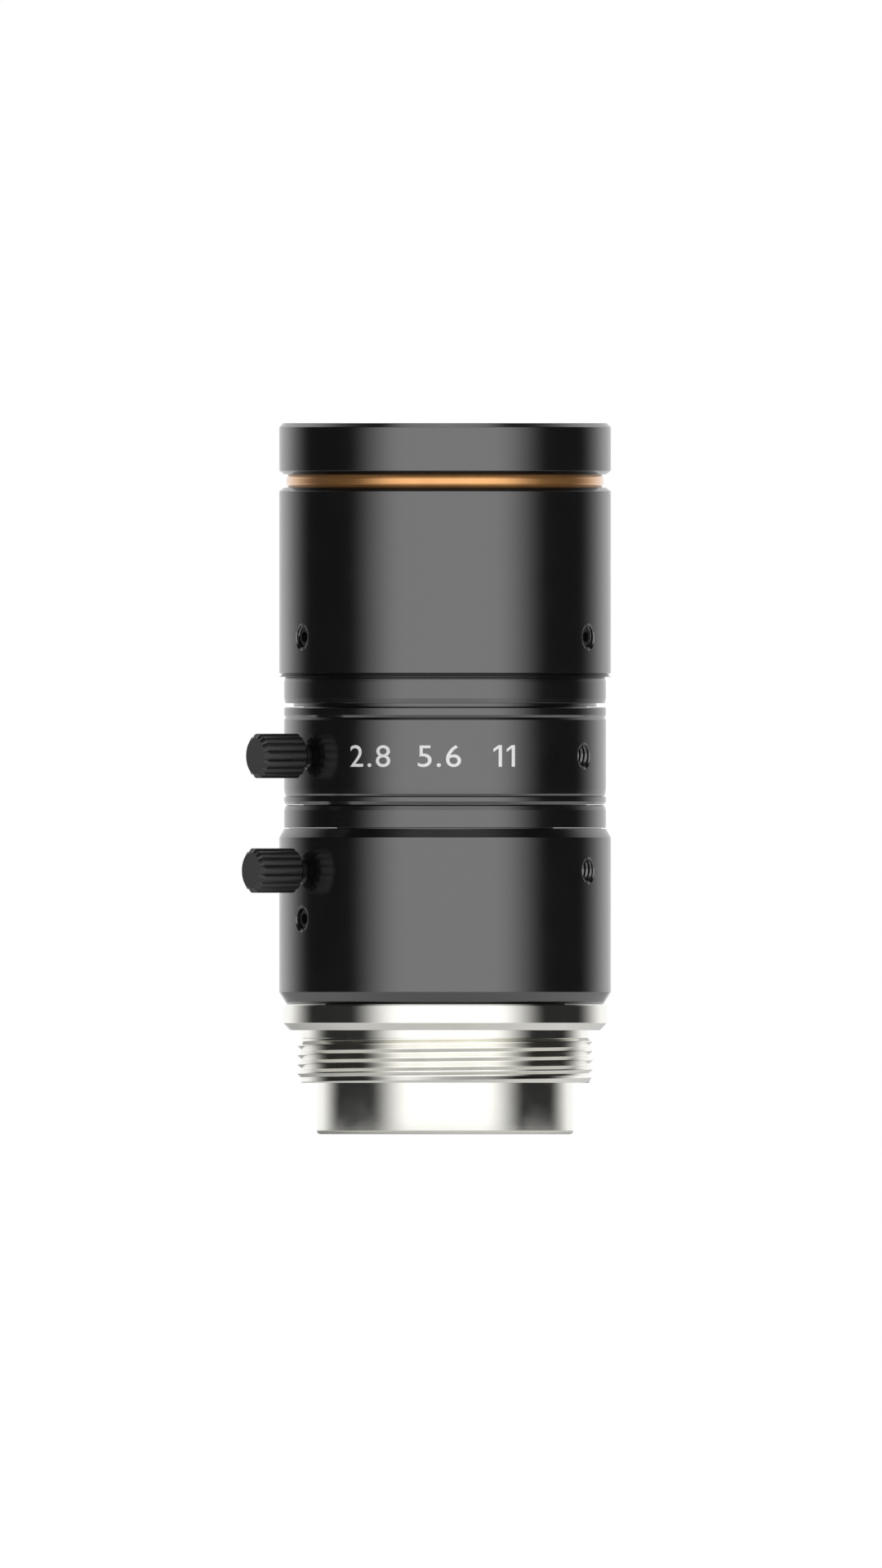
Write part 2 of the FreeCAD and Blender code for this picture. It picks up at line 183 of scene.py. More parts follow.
# The scale's pieces, each with its digits and how far beside the axis the front view shows it
SCALE = (("scale_a", "2.8", -6.48), ("scale_b", "5.6", -0.49), ("scale_c", "11", 5.08))
DIGIT_HEIGHT = 1.85
DIGIT_WIDTH = 1.15  # against the plain letter
DIGIT_SPACE = 0.14  # in the letter's own units, like the next three
DIGIT_STEP = 0.12
FLAG_REACH = 0.15
FLAG_DROP = 0.12
PAINT_THICKNESS = 0.02
PAINT_RISE = 0.005


# Meshes

def on_ring(bm, row, angle):
    radius, height = row
    r = radius(angle) if callable(radius) else radius
    return bm.verts.new(Vector((r * math.cos(angle), r * math.sin(angle), height)) * MM)


def add_face(bm, corners):
    """A face from its corners, of which some may be the same vertex."""
    unique = list(dict.fromkeys(corners))
    if len(unique) > 2:
        bm.faces.new(unique)


def bridge(bm, first, second, segments):
    """Joins two rings, of which one may be a single vertex on the axis."""
    for i in range(segments):
        j = (i + 1) % segments
        a, b = first[i % len(first)], first[j % len(first)]
        c, d = second[j % len(second)], second[i % len(second)]
        add_face(bm, [a, b, c, d])


def thread(root, depth, pitch, fade_low=0.0, fade_high=0.0):
    """A right-hand thread on its root radius. The depth is less than 0 in a hole's wall."""
    return {"root": root, "depth": depth, "pitch": pitch, "fade": (fade_low, fade_high)}


def wind(bm, form, first, second, segments):
    """Winds a thread between two rings, its edges along the helix."""
    low_ring, high_ring = sorted((first, second), key=lambda ring: ring[0].co.z)
    low, high = low_ring[0].co.z / MM, high_ring[0].co.z / MM
    pitch = form["pitch"]
    fade_low, fade_high = form["fade"]
    made = {}

    def corner(i, p):
        if i == segments:
            return corner(0, p + len(THREAD_FORM))
        phase, height = THREAD_FORM[p % len(THREAD_FORM)]
        z = low + pitch * (i / segments + phase + p // len(THREAD_FORM))
        if z < low + TINY:
            return low_ring[i]
        if z > high - TINY:
            return high_ring[i]
        if (i, p) not in made:
            fade = min(1.0, (z - low) / (fade_low or TINY), (high - z) / (fade_high or TINY))
            row = (form["root"] + form["depth"] * height * fade, z)
            made[i, p] = on_ring(bm, row, TURN * i / segments)
        return made[i, p]

    turns = math.ceil((high - low) / pitch)
    for p in range(-len(THREAD_FORM), turns * len(THREAD_FORM)):
        for i in range(segments):
            add_face(bm, [corner(i, p), corner(i + 1, p), corner(i + 1, p + 1), corner(i, p + 1)])


def revolve(rows, segments=SEGMENTS, closed=True):
    """A turned mesh about Z from (radius, height) rows. A radius may be a function of the angle.

    A thread between two rows winds from the one to the other.
    """
    bm = bmesh.new()
    rings = []
    threads = {}
    for row in rows:
        if isinstance(row, dict):
            threads[len(rings) - 1] = row
        elif row[0] == 0:
            rings.append([bm.verts.new((0, 0, row[1] * MM))])
        else:
            rings.append([on_ring(bm, row, TURN * i / segments) for i in range(segments)])
    pairs = list(zip(rings, rings[1:]))
    if closed:
        pairs.append((rings[-1], rings[0]))
    for number, (first, second) in enumerate(pairs):
        if number in threads:
            wind(bm, threads[number], first, second, segments)
        else:
            bridge(bm, first, second, segments)
    bmesh.ops.recalc_face_normals(bm, faces=bm.faces)
    return finished_mesh(bm, "turned")


def finished_mesh(bm, name):
    mesh = bpy.data.meshes.new(name)
    bm.to_mesh(mesh)
    bm.free()
    return mesh


def eased(corners, steps=3):
    """Rows of a closed outline of (radius, height, edge) corners, each rounded by its edge."""
    rows = []
    count = len(corners)
    for i, (r, z, edge) in enumerate(corners):
        if edge == 0:
            rows.append((r, z))
            continue
        here = Vector((r, z))
        before = Vector(corners[i - 1][:2]) - here
        after = Vector(corners[(i + 1) % count][:2]) - here
        half = before.angle(after) / 2
        room = min(before.length, after.length) * ARC_SHARE
        back = min(edge / math.tan(half), room)
        start = here + before.normalized() * back
        end = here + after.normalized() * back
        for k in range(steps + 1):
            t = k / steps
            # a quadratic arc from start to end that bends towards the corner
            place = start * (1 - t) ** 2 + here * 2 * t * (1 - t) + end * t ** 2
            rows.append((place.x, place.y))
    return rows


def shade_turned(mesh, side_limit=0.05):
    """Normals that follow a turned form: round about the axis and straight along the profile.

    A face that looks aside, such as a hole's wall, keeps its own.
    """
    normals = []
    for polygon in mesh.polygons:
        polygon.use_smooth = True
        centre = polygon.center
        out = Vector((centre.x, centre.y, 0)).normalized()
        along = polygon.normal.dot(out)
        aside = abs(polygon.normal.dot(Vector((-out.y, out.x, 0))))
        for index in polygon.vertices:
            place = mesh.vertices[index].co
            spoke = Vector((place.x, place.y, 0))
            if aside > side_limit or spoke.length < TINY * MM:
                normals.append(polygon.normal.copy())
            else:
                spoke.normalize()
                turned = Vector((spoke.x * along, spoke.y * along, polygon.normal.z))
                normals.append(turned.normalized())
    mesh.normals_split_custom_set(normals)
    return mesh


def shade_smooth(mesh, sharp_angle):
    """Smooth shading that keeps the edges sharper than an angle in degrees."""
    for polygon in mesh.polygons:
        polygon.use_smooth = True
    mesh.set_sharp_from_angle(angle=math.radians(sharp_angle))


def spoke_matrix(azimuth, height):
    """Lays a mesh made along Z onto a spoke: its Z becomes the distance from the axis."""
    turn = Matrix.Rotation(azimuth, 4, "Z") @ Matrix.Rotation(math.radians(90), 4, "Y")
    return Matrix.Translation((0, 0, height * MM)) @ turn


def hole_cutter(azimuth, height, inner, surface):
    """What a countersunk threaded hole takes away, along a spoke."""
    root = SCREW_RADIUS - HOLE_THREAD_DEPTH
    mouth = surface - SINK_DEPTH
    rows = [
        (0, inner),
        (root, inner),
        thread(root, HOLE_THREAD_DEPTH, SCREW_PITCH),
        (root, mouth - HOLE_THREAD_END),
        (SCREW_RADIUS, mouth),
        (SCREW_RADIUS + 2 * SINK_DEPTH, surface + SINK_DEPTH),
        (SCREW_RADIUS + 2 * SINK_DEPTH, surface + CUT_MARGIN),
        (0, surface + CUT_MARGIN),
    ]
    mesh = revolve(rows, HOLE_SEGMENTS, closed=False)
    mesh.transform(spoke_matrix(azimuth, height))
    return mesh


def cut_holes(mesh, holes, bore, surface):
    """Cuts threaded holes through a ring's wall. Each hole is an azimuth and a height."""
    body = bpy.data.objects.new("body", mesh)
    bpy.context.scene.collection.objects.link(body)
    cutters = []
    for azimuth, height in holes:
        hole = hole_cutter(azimuth, height, bore - CUT_MARGIN, surface)
        cutter = bpy.data.objects.new("cutter", hole)
        bpy.context.scene.collection.objects.link(cutter)
        cutters.append(cutter)
        cut = body.modifiers.new("cut", "BOOLEAN")
        cut.operation = "DIFFERENCE"
        cut.solver = "EXACT"
        cut.object = cutter
    graph = bpy.context.evaluated_depsgraph_get()
    result = bpy.data.meshes.new_from_object(body.evaluated_get(graph))
    for thing in [body, *cutters]:
        bpy.data.objects.remove(thing)
    return result


# Materials

FINE_DEPTH = 0.004 * MM  # height of lathe lines and grain
GRAIN_SCALE = 12.0
CLOUD_SCALE = 0.35  # slow changes over several millimetres
COAT_IOR = 1.6

GLASS_IOR = 1.6
GLASS_TINT = (0.97, 0.98, 0.97)
GLASS_REFLECTION = (0.16, 0.18, 0.32)  # the coating's weak, bluish mirror image
DUST_SCALE = 3.0
DUST_ROUGHNESS = 0.03

PAINT_LEVEL = 0.80
PAINT_WORN = 0.82  # against the full level
PAINT_SCALE = 6.0
PAINT_DEPTH = 0.02 * MM
PAINT_ROUGHNESS = (0.5, 0.7)


def add(tree, kind, values=None, **settings):
    """A node with its settings and its inputs, each a plain value or another node's output."""
    node = tree.nodes.new(kind)
    for key, value in settings.items():
        setattr(node, key, value)
    for socket, value in (values or {}).items():
        if isinstance(value, bpy.types.NodeSocket):
            tree.links.new(value, node.inputs[socket])
        else:
            node.inputs[socket].default_value = value
    return node


def new_look(name):
    look = bpy.data.materials.new(name)
    look.use_nodes = True
    look.node_tree.nodes.clear()
    return look, look.node_tree


def finish_look(tree, shader):
    add(tree, "ShaderNodeOutputMaterial", {"Surface": shader.outputs[0]})


def object_place(tree):
    """The place in the object's own frame, in millimetres."""
    place = add(tree, "ShaderNodeTexCoord").outputs["Object"]
    scaled = add(tree, "ShaderNodeVectorMath", {0: place, "Scale": 1 / MM}, operation="SCALE")
    return scaled.outputs[0]


def turned_place(tree):
    """Distance from the axis and height, in millimetres: constant along a lathe tool's path."""
    split = add(tree, "ShaderNodeSeparateXYZ", {"Vector": object_place(tree)})
    flat = add(tree, "ShaderNodeCombineXYZ", {"X": split.outputs["X"], "Y": split.outputs["Y"]})
    out = add(tree, "ShaderNodeVectorMath", {0: flat.outputs[0]}, operation="LENGTH")
    path = {"X": out.outputs["Value"], "Z": split.outputs["Z"]}
    return add(tree, "ShaderNodeCombineXYZ", path).outputs[0]


def noise(tree, place, scale, detail=2.0, roughness=0.5):
    values = {"Vector": place, "Scale": scale, "Detail": detail, "Roughness": roughness}
    return add(tree, "ShaderNodeTexNoise", values).outputs["Fac"]


def ranged(tree, value, low, high, from_low=0.3, from_high=0.7, **settings):
    ends = {"From Min": from_low, "From Max": from_high, "To Min": low, "To Max": high}
    return add(tree, "ShaderNodeMapRange", {"Value": value, **ends}, **settings).outputs["Result"]


def blended(tree, factor, first, second):
    values = {"Factor": factor, 6: (*first, 1), 7: (*second, 1)}
    return add(tree, "ShaderNodeMix", values, data_type="RGBA").outputs[2]


def bumped(tree, height, strength, distance, normal=None):
    values = {"Height": height, "Strength": strength, "Distance": distance}
    if normal is not None:
        values["Normal"] = normal
    return add(tree, "ShaderNodeBump", values).outputs["Normal"]


def metal_look(name, dark, light, rough, metallic=0.0, ior=1.5, lines=0.1, grain=0.1,
               line_scale=5.0, coat=0.0):
    """A turned metal: lathe lines, a fine grain, and slow changes of tone and gloss."""
    look, tree = new_look(name)
    place = object_place(tree)
    line_height = noise(tree, turned_place(tree), line_scale, detail=3, roughness=0.6)
    grain_height = noise(tree, place, GRAIN_SCALE, detail=1)
    cloud = noise(tree, place, CLOUD_SCALE, detail=3)
    gloss = ranged(tree, cloud, *rough)
    normal = bumped(tree, line_height, lines, FINE_DEPTH)
    values = {
        "Base Color": blended(tree, ranged(tree, cloud, 0, 1), dark, light),
        "Metallic": metallic,
        "Roughness": gloss,
        "IOR": ior,
        "Normal": bumped(tree, grain_height, grain, FINE_DEPTH, normal),
        "Coat Weight": coat,
        "Coat Roughness": gloss,
        "Coat IOR": COAT_IOR,
    }
    finish_look(tree, add(tree, "ShaderNodeBsdfPrincipled", values))
    return look


def glass_look(name):
    """Coated glass with faint dust."""
    look, tree = new_look(name)
    dust = noise(tree, object_place(tree), DUST_SCALE, detail=6, roughness=0.7)
    values = {
        "Base Color": (*GLASS_TINT, 1),
        "Roughness": ranged(tree, dust, 0.0, DUST_ROUGHNESS, from_low=0.5, from_high=0.8),
        "IOR": GLASS_IOR,
        "Transmission Weight": 1.0,
        "Specular Tint": (*GLASS_REFLECTION, 1),
    }
    finish_look(tree, add(tree, "ShaderNodeBsdfPrincipled", values))
    return look


def paint_look(name):
    """White paint wiped into engraved digits: matt and slightly uneven."""
    look, tree = new_look(name)
    grain = noise(tree, object_place(tree), PAINT_SCALE, detail=3, roughness=0.6)
    worn, full = grey(PAINT_LEVEL * PAINT_WORN), grey(PAINT_LEVEL)
    values = {
        "Base Color": blended(tree, ranged(tree, grain, 0, 1), worn, full),
        "Roughness": ranged(tree, grain, *PAINT_ROUGHNESS),
        "Normal": bumped(tree, grain, 0.3, PAINT_DEPTH),
    }
    finish_look(tree, add(tree, "ShaderNodeBsdfPrincipled", values))
    return look


def grey(level):
    return level, level, level


# Each finish between its darkest and its lightest tone, and its smoothest and its roughest place
looks = {
    "nickel": metal_look(
        "nickel", (0.85, 0.84, 0.79), (0.91, 0.90, 0.85), (0.07, 0.11),
        metallic=1.0, lines=0.10, grain=0.02, line_scale=4.0),
    "black_anodised": metal_look(
        "black_anodised", grey(0.0035), grey(0.0045), (0.15, 0.18),
        ior=2.17, lines=0.06, grain=0.05),
    "inner_black": metal_look(
        "inner_black", grey(0.008), grey(0.012), (0.45, 0.55),
        ior=1.6, lines=0.3, grain=0.2),
    "orange_anodised": metal_look(
        "orange_anodised", (0.76, 0.36, 0.11), (0.84, 0.42, 0.14), (0.20, 0.26),
        metallic=0.8, lines=0.08, grain=0.04, coat=1.0),
    "black_steel": metal_look(
        "black_steel", grey(0.004), grey(0.007), (0.28, 0.38),
        ior=1.65, lines=0.3, grain=0.25, line_scale=8.0),
    "blade_steel": metal_look(
        "blade_steel", grey(0.020), grey(0.035), (0.30, 0.40),
        metallic=0.4, ior=1.6, lines=0.0, grain=0.2),
    "pin_steel": metal_look(
        "pin_steel", grey(0.50), grey(0.60), (0.20, 0.28),
        metallic=1.0),
    "soft_tip": metal_look(
        "soft_tip", (0.62, 0.45, 0.18), (0.75, 0.56, 0.25), (0.25, 0.35),
        metallic=1.0, lines=0.2),
    "coated_glass": glass_look("coated_glass"),
}
digit_paint = paint_look("digit_paint")


# Pieces

def add_piece(name, mesh, node, look, replaces=True):
    """Puts a mesh into the scene on the body of a CAD node, with the given finish."""
    piece = bpy.data.objects.new(name, mesh)
    bpy.context.scene.collection.objects.link(piece)
    mesh.materials.clear()
    mesh.materials.append(look)
    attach(piece, body_of(node))
    if replaces:
        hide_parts(node)
    return piece


def lip_rows(radius, height):
    """A low lip on a top face, which closes the view through the running gap above it."""
    top = height + LIP_HEIGHT
    inner = radius - LIP_WIDTH
    return [(radius, height, 0), (radius, top, 0), (inner, top, 0), (inner, height, 0)]


def line_rows(radius, base, line):
    """A fine turned line round a ring."""
    return [(radius - depth, base + rise) for rise, depth in line]


def camera_mount():
    bore, flange, low, high = span("c_mount")
    snout = rim("c_mount", min)[1]
    flange_edge = widest("c_mount")[0]
    crest, full_length = mount_size("c_mount_thread")
    thread_end = -full_length - THREAD_LEAD
    root = crest - THREAD_DEPTH
    relief = root - RELIEF_DEPTH
    behind = eased([
        (bore, high, EDGE),
        (bore, low, SNOUT_BORE_EDGE),
        (snout, low, SNOUT_EDGE),
        (snout, thread_end, 0),
        (root, thread_end, 0),
    ])
    before = eased([
        (root, -THREAD_RELIEF, 0),
        (relief, -THREAD_RELIEF + RELIEF_DEPTH, 0),
        (relief, 0, 0),
        (flange - flange_edge, 0, EDGE),
        (flange, flange_edge, EDGE),
        (flange, high, EDGE),
        *lip_rows(flange - FLANGE_LIP_INSET, high),
    ])
    helix = thread(root, THREAD_DEPTH, THREAD_PITCH, THREAD_LEAD, THREAD_RUN_OUT)
    mesh = revolve([*behind, helix, *before])
    add_piece("camera_mount", shade_turned(mesh), "c_mount", looks["nickel"])


def focus_ring():
    bore, radius, low, high = span("focus_ring")
    foot, head = rim("focus_ring", min)[1], rim("focus_ring", max)[1]
    wide_low, wide_high = widest("focus_ring")
    rows = eased([
        (bore, low, EDGE),
        (foot, low, EDGE),
        (radius, wide_low, EDGE),
        (radius, wide_high, EDGE),
        (head, high, EDGE),
        *lip_rows(radius - FOCUS_LIP_INSET, high),
        (bore, high, EDGE),
    ])
    lock = middle_height("focus_thumbscrew")
    stop = middle_height("focus_stop_screw")
    mesh = cut_holes(revolve(rows), [(LEFT, lock), (RIGHT, lock), (LEFT, stop)], bore, radius)
    add_piece("focus_grip", shade_turned(mesh), "focus_ring", looks["black_anodised"])


def hexagon(apothem):
    def radius_at(angle):
        return apothem / math.cos((angle % (TURN / 6)) - TURN / 12)
    return radius_at


def set_screw(length, surface, azimuth, height):
    """A headless screw on a spoke, under a ring's surface, with a socket in its outer end."""
    outer = surface - SCREW_RECESS
    inner = outer - length
    socket = hexagon(HEX_APOTHEM)
    root = SCREW_RADIUS - SCREW_THREAD_DEPTH
    fade = SCREW_PITCH / 2
    rows = [
        (0, inner),
        (root, inner),
        thread(root, SCREW_THREAD_DEPTH - SEAT_GAP, SCREW_PITCH, fade, fade),
        (root, outer),
        (socket, outer),
        (socket, outer - HEX_DEPTH),
        (0, outer - HEX_DEPTH - HEX_POINT),
    ]
    mesh = revolve(rows, HOLE_SEGMENTS, closed=False)
    mesh.transform(spoke_matrix(azimuth, height))
    return mesh


def stop_screw():
    surface = span("focus_ring")[1]
    mesh = set_screw(STOP_SCREW_LENGTH, surface, LEFT, middle_height("focus_stop_screw"))
    add_piece("focus_stop", mesh, "focus_stop_screw", looks["black_steel"])


def lens_barrel():
    stop, collar, low, high = span("lens_barrel")
    rear_bore, tube = rim("lens_barrel", min)
    chamber, barrel = rim("lens_barrel", max)
    rear_seat = span("rear_lens")[3]
    seat = span("iris_blade_1")[2] + BLADE_PIN_DEPTH
    stop_width, stop_depth = STOP_EDGE
    collar_low = span("focus_ring")[3] + LIP_HEIGHT + RUNNING_GAP / 2
    collar_high = span("iris_ring")[2] - RUNNING_GAP
    outside = eased([
        (rear_bore, low, EDGE),
        (tube, low, EDGE),
        (tube, collar_low, 0),
        (collar, collar_low, CRISP),
        *[(collar - depth, collar_high - drop, CRISP) for depth, drop in COLLAR_TOP],
        (barrel, collar_high, 0),
        (barrel, high, EDGE),
        (chamber, high, EDGE),
    ])
    baffle_high = high - BAFFLE_MARGIN
    baffle_low = span("iris_cam_ring")[3] + BAFFLE_MARGIN
    baffles = []
    for k in range(int((baffle_high - baffle_low) / BAFFLE_PITCH)):
        z = baffle_high - k * BAFFLE_PITCH
        baffles += [(chamber, z), (chamber + BAFFLE_DEPTH, z - BAFFLE_RISE)]
    inside = [
        (chamber, baffle_low),
        (chamber, seat),
        (stop + stop_width, seat),
        (stop, seat - stop_depth),
        (stop, rear_seat),
        (rear_bore, rear_seat),
    ]
    mesh = shade_turned(revolve(outside + baffles + inside))
    add_piece("lens_tube", mesh, "lens_barrel", looks["black_anodised"])
    mesh.materials.append(looks["inner_black"])
    for polygon in mesh.polygons:
        centre = polygon.center / MM
        if centre.z > seat - stop_depth and centre.xy.length < chamber + BAFFLE_DEPTH:
            polygon.material_index = 1


def iris_ring():
    bore, radius, low, high = span("iris_ring")
    foot_depth, foot_height = RING_FOOT
    top_depth, top_height = RING_TOP
    rows = [
        (bore, low),
        (radius - foot_depth, low),
        (radius, low + foot_height),
        *line_rows(radius, low, LOWER_LINE),
        *line_rows(radius, high, UPPER_LINE),
        (radius, high - top_height),
        (radius - top_depth, high),
        (bore, high),
    ]
    lock = middle_height("iris_drive_pin")
    mesh = cut_holes(revolve(rows), [(LEFT, lock), (RIGHT, lock)], bore, radius)
    add_piece("iris_grip", shade_turned(mesh), "iris_ring", looks["black_anodised"])


def glyph(character):
    """The vertices and faces of a plain character, from 0 to its width. A 1 gets a flag."""
    curve = bpy.data.curves.new("glyph", "FONT")
    curve.body = character
    curve.resolution_u = 6
    letter = bpy.data.objects.new("glyph", curve)
    bpy.context.scene.collection.objects.link(letter)
    graph = bpy.context.evaluated_depsgraph_get()
    mesh = bpy.data.meshes.new_from_object(letter.evaluated_get(graph))
    bpy.data.objects.remove(letter)
    points = [v.co.xy for v in mesh.vertices]
    faces = [list(polygon.vertices) for polygon in mesh.polygons]
    left = min(p.x for p in points)
    top = max(p.y for p in points)
    if character == "1":
        bar = max(p.x for p in points) - left
        faces.append([len(points) + k for k in range(4)])
        flag = ((0, 0), (FLAG_REACH, FLAG_DROP), (FLAG_REACH, FLAG_DROP + bar), (0, bar))
        points += [Vector((left - reach, top - drop)) for reach, drop in flag]
        left -= FLAG_REACH
    return [Vector((p.x - left, p.y)) for p in points], faces


def flat_text(text):
    """Flat characters side by side, in short pieces that can bend, and their width."""
    bm = bmesh.new()
    pen = 0.0
    for character in text:
        points, faces = glyph(character)
        corners = [bm.verts.new((pen + p.x, p.y, 0)) for p in points]
        for face in faces:
            bm.faces.new([corners[k] for k in face])
        pen += max(p.x for p in points) + DIGIT_SPACE
    bmesh.ops.triangulate(bm, faces=bm.faces)
    for _ in range(2):
        long_edges = [e for e in bm.edges if e.calc_length() > DIGIT_STEP]
        bmesh.ops.subdivide_edges(bm, edges=long_edges, cuts=1)
    bmesh.ops.triangulate(bm, faces=bm.faces)
    return bm, pen - DIGIT_SPACE


def digits(name, text, seen):
    """Digits wrapped on the iris ring, their middle where it is seen beside the axis."""
    radius = span("iris_ring")[1]
    height = middle_height("iris_drive_pin")
    bm, wide = flat_text(text)
    tall = max(v.co.y for v in bm.verts)
    bmesh.ops.solidify(bm, geom=bm.faces[:], thickness=PAINT_THICKNESS)
    scale = DIGIT_HEIGHT / tall
    middle = FRONT + math.asin(seen / radius)
    for v in bm.verts:
        across = (v.co.x - wide / 2) * scale * DIGIT_WIDTH
        angle = middle + across / radius
        r = radius + PAINT_RISE + v.co.z
        up = height + (v.co.y - tall / 2) * scale
        v.co = Vector((r * math.cos(angle), r * math.sin(angle), up)) * MM
    bmesh.ops.recalc_face_normals(bm, faces=bm.faces)
    add_piece(name, finished_mesh(bm, name), "iris_ring", digit_paint, replaces=False)


def front_barrel():
    bore, radius, low, high = span("front_barrel")
    neck = rim("front_barrel", min)[1]
    neck_top = widest("front_barrel")[0]
    foot_depth, foot_height = NECK_FOOT
    edge_depth, edge_height = BARREL_EDGE
    lip_low = span("iris_ring")[3] + RUNNING_GAP
    rows = eased([
        (bore, lip_low, CRISP),
        (NECK_LIP_RADIUS, lip_low, CRISP),
        (NECK_LIP_RADIUS, low, 0),
        (neck - foot_depth, low, CRISP),
        (neck, low + foot_height, EDGE),
        *[(neck - depth, neck_top - drop, 0) for depth, drop in NECK_RELIEF],
        (radius, neck_top, 0),
        *[(r, z, 0) for r, z in line_rows(radius, neck_top, BARREL_LINE)],
        (radius, high - edge_height, CRISP),
        (radius - edge_depth, high, CRISP),
        (bore, high, EDGE),
    ])
    height = neck_top + SET_SCREW_RISE
    mesh = cut_holes(revolve(rows), [(LEFT, height), (RIGHT, height)], bore, radius)
    add_piece("front_sleeve", shade_turned(mesh), "front_barrel", looks["black_anodised"])
    for name, azimuth in (("front_set_screw_left", LEFT), ("front_set_screw_right", RIGHT)):
        mesh = set_screw(SET_SCREW_LENGTH, radius, azimuth, height)
        screw = add_piece(name, mesh, "front_barrel", looks["black_steel"], replaces=False)


def accent_ring():
    bore, radius, low, high = span("accent_ring")
    depth, height = ACCENT_BEVEL
    rows = eased([
        (bore, low, 0),
        (radius - depth, low, EDGE),
        (radius, low + height, EDGE),
        (radius, high - height, EDGE),
        (radius - depth, high, EDGE),
        (bore, high, 0),
    ])
    add_piece("orange_ring", shade_turned(revolve(rows)), "accent_ring", looks["orange_anodised"])


def front_ring():
    opening, radius, low, high = span("front_ring")
    head = rim("front_ring", max)[1]
    wide_high = widest("front_ring")[1]
    edge_depth, edge_height = BARREL_EDGE
    crest, depth = mount_size("filter_thread")
    ledge = high - depth
    root = crest + FILTER_THREAD_DEPTH
    rows = eased([
        (opening, ledge, EDGE),
        (opening, low, EDGE),
        (radius - edge_depth, low, CRISP),
        (radius, low + edge_height, CRISP),
        (radius, wide_high, EDGE),
        (head, high, EDGE),
        (root, high, EDGE),
        (root, high - FILTER_LEAD, 0),
    ])
    helix = thread(root, -FILTER_THREAD_DEPTH, FILTER_PITCH, FILTER_LEAD, FILTER_LEAD)
    rows += [helix, (root, ledge + FILTER_LEAD), (root, ledge)]
    add_piece("filter_ring", shade_turned(revolve(rows)), "front_ring", looks["black_anodised"])


def crown(radius, curve, end, side, steps=24):
    """Rows of a ball's cap from its rim to its end on the axis. side is 1 when it ends above."""
    rows = []
    for k in range(steps + 1):
        r = radius * (1 - k / steps)
        rows.append((r, end - side * (curve - math.sqrt(curve ** 2 - r ** 2))))
    return rows


def add_glass(name, rows, node):
    mesh = revolve(rows, closed=False)
    shade_smooth(mesh, sharp_angle=30)
    add_piece(name, mesh, node, looks["coated_glass"])


def front_glass():
    _, radius, low, high = span("front_lens")
    back = [(0, low), (radius - GLASS_EDGE, low), (radius, low + GLASS_EDGE)]
    add_glass("front_glass", back + crown(radius, FRONT_LENS_CURVE, high, 1), "front_lens")


def rear_glass():
    _, radius, low, high = span("rear_lens")
    front = [(0, high), (radius, high)]
    add_glass("rear_glass", front + crown(radius, REAR_LENS_CURVE, low, -1), "rear_lens")


def fluted(radius):
    def radius_at(angle):
        wave = abs(math.sin(HEAD_FLUTES * angle / 2))
        return radius - FLUTE_DEPTH * (1 - wave ** FLUTE_SHAPE)
    return radius_at


def thumbscrew(node, ring):
    """A fluted head with chamfered ends and a smooth outer face, on a threaded shank."""
    shank_end = span(ring)[1] - SHANK_REACH
    _, outer, low, high = span(node)
    head = (high - low) / 2
    head_end = math.sqrt(outer ** 2 - head ** 2)
    head_start = head_end - HEAD_LENGTH
    shoulder_depth, shoulder = HEAD_SHOULDER
    root = SCREW_RADIUS - SCREW_THREAD_DEPTH
    rows = [
        (0, shank_end),
        (root, shank_end),
        thread(root, SCREW_THREAD_DEPTH, SCREW_PITCH, SCREW_PITCH, 0.0),
        (root, head_start),
        (head - HEAD_CHAMFER, head_start),
        (fluted(head - shoulder_depth), head_start + shoulder),
        (fluted(head), head_start + HEAD_CHAMFER),
        (fluted(head), head_end - HEAD_CHAMFER),
        (fluted(head - shoulder_depth), head_end - shoulder),
        (head - HEAD_CHAMFER, head_end),
        (0, head_end),
    ]
    mesh = revolve(rows, HEAD_FLUTES * FLUTE_SEGMENTS, closed=False)
    shade_smooth(mesh, sharp_angle=35)
    end_faces = [face.index for face in mesh.polygons if face.center.z / MM > head_end - EDGE]
    mesh.transform(spoke_matrix(LEFT, middle_height(node)))
    add_piece(f"{node}_knob", mesh, node, looks["black_steel"])
    mesh.materials.append(looks["black_anodised"])
    for index in end_faces:
        mesh.polygons[index].material_index = 1


# CAD nodes that keep their own shape, beside the iris blades
PLAIN_NODES = (
    "guide_barrel",
    "cam_follower",
    "focus_lock_tip",
    "iris_lock_tip",
    "iris_drive_pin",
    "iris_cam_ring",
)


def dress(node):
    """Gives a CAD node its slot's finish."""
    mesh = frame["nodes"][node].data
    mesh.materials.clear()
    mesh.materials.append(looks[slot_of(node)])


# Stage

# The studio's light, by the direction that it comes from. Each fade says where it starts and where
# it ends, and the light's strength at both: sideways by the angle from the front, and upwards and
# downwards by the sine of the slope.
FRONT_MIDDLE = math.radians(2.6)
FRONT_SIDEWAYS = (math.radians(31), math.radians(74.5), 1.30, 0.025)
FRONT_UPWARDS = (0.5, 0.8, 1.0, 0.15)
BACK_SIDEWAYS = (math.radians(108), math.radians(150), 0.0, 1.0)
BACK_UPWARDS = (0.6, 0.9, 1.0, 0.3)
OVERHEAD = (0.92, 0.98, 0.0, 1.0)

FLOOR_RADIUS = 90
FLOOR_SEGMENTS = 96
FLOOR_GAP = 0.02
FLOOR_DARK = 0.80
FLOOR_LIGHT = 0.82
FLOOR_SCALE = 0.2
FLOOR_GLOW = 0.36  # what the camera sees beside the floor's own light
FLOOR_FADE = (50, 85)  # distances from the axis between which the floor turns white

LAMP_PLACE = (150, -250, 450)
LAMP_AIM = (0, 0, 20)
LAMP_SIZE = 300
LAMP_POWER = 1.2

